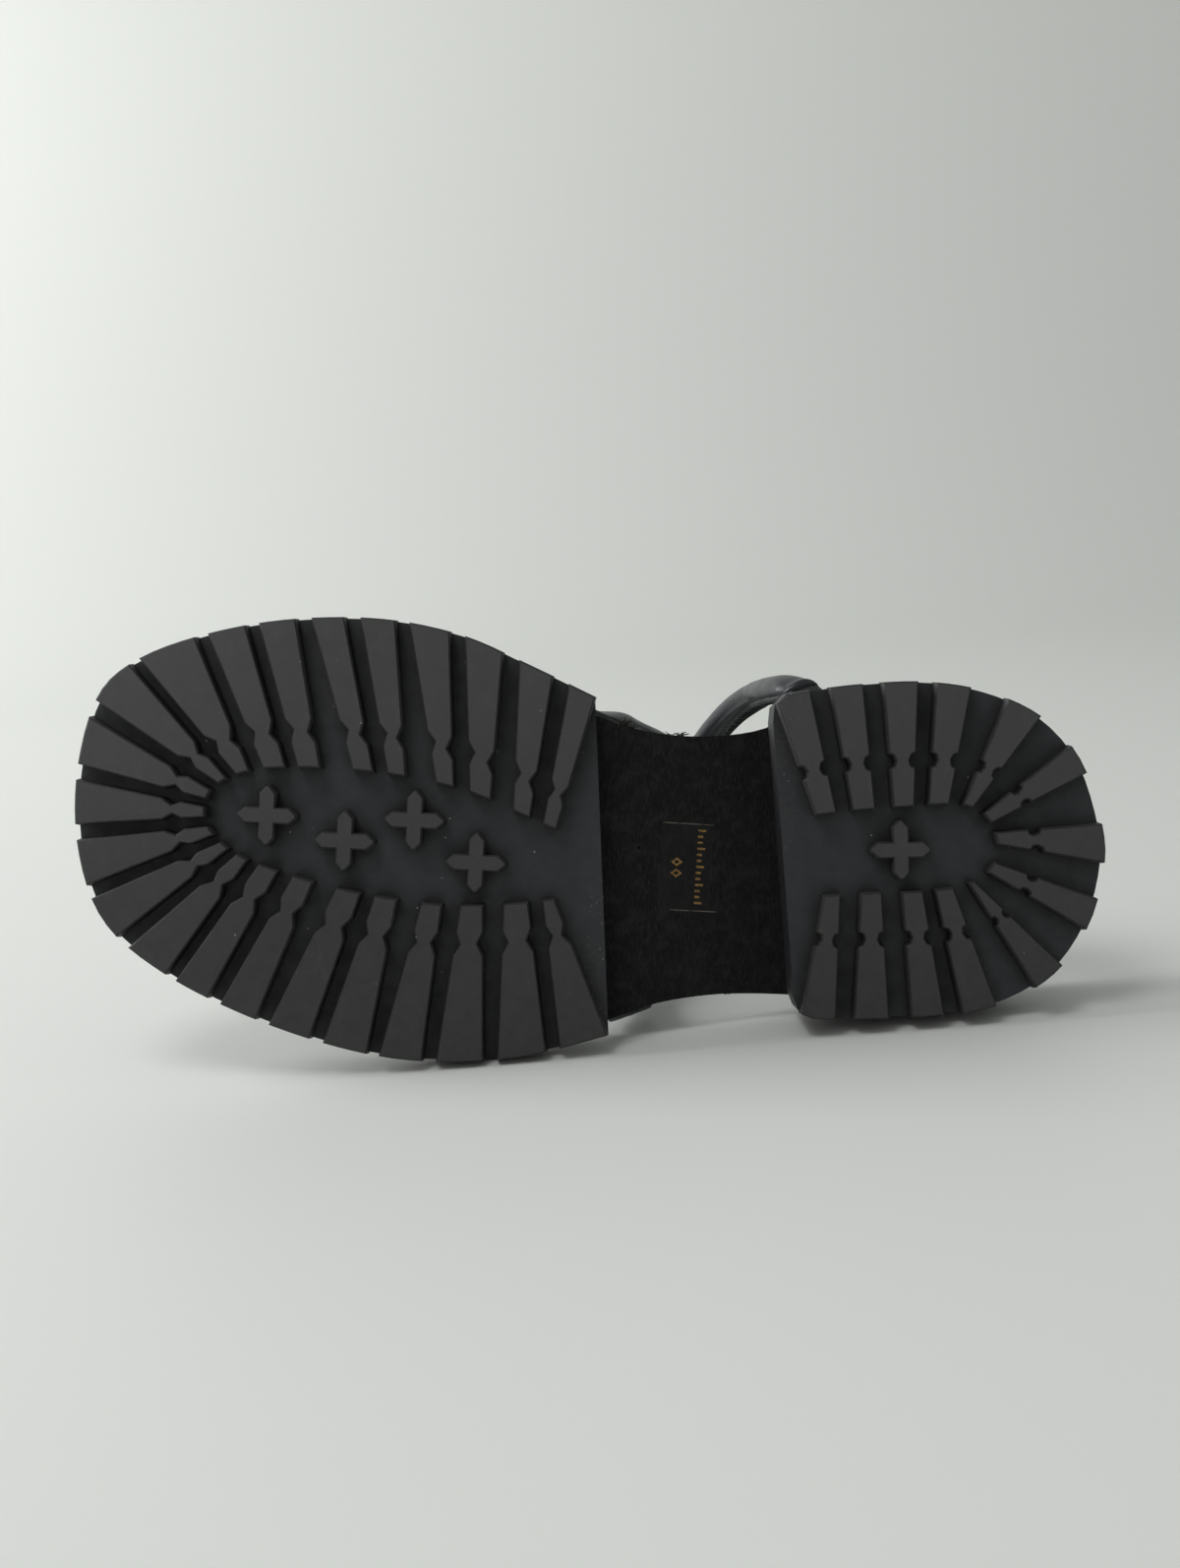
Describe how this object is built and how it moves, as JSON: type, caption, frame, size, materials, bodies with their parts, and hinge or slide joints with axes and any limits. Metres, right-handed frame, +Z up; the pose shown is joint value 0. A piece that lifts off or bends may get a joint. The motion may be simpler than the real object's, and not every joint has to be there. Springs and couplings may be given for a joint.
{
  "type": "sandal",
  "caption": "Right sandal lying on its outer side: two padded tubular straps cross over the instep, on a runner board with a square-toed, deeply lugged rubber sole and a lugged heel block.",
  "frame": {"origin": "bottom centre of the bounding box, on the floor that the sandal lies on", "axes": "+X along the shoe from the toe to the heel, +Y from the tread to the straps, level with the floor, +Z up, out of the inner side of the foot"},
  "size_m": [0.2524, 0.11, 0.1112],
  "materials": {
    "outsole_rubber": "matt moulded black rubber",
    "heel_rubber": "matt moulded black rubber",
    "runner_board": "black bonded leather board with a fine fibrous grain",
    "footbed": "plain black lining",
    "strap_leather": "smooth black leather, half gloss"
  },
  "bodies": {
    "root": {"outsole": "outsole_rubber", "heel": "heel_rubber", "midsole": "runner_board", "insole": "footbed", "upper": "strap_leather"}
  },
  "joints": []
}
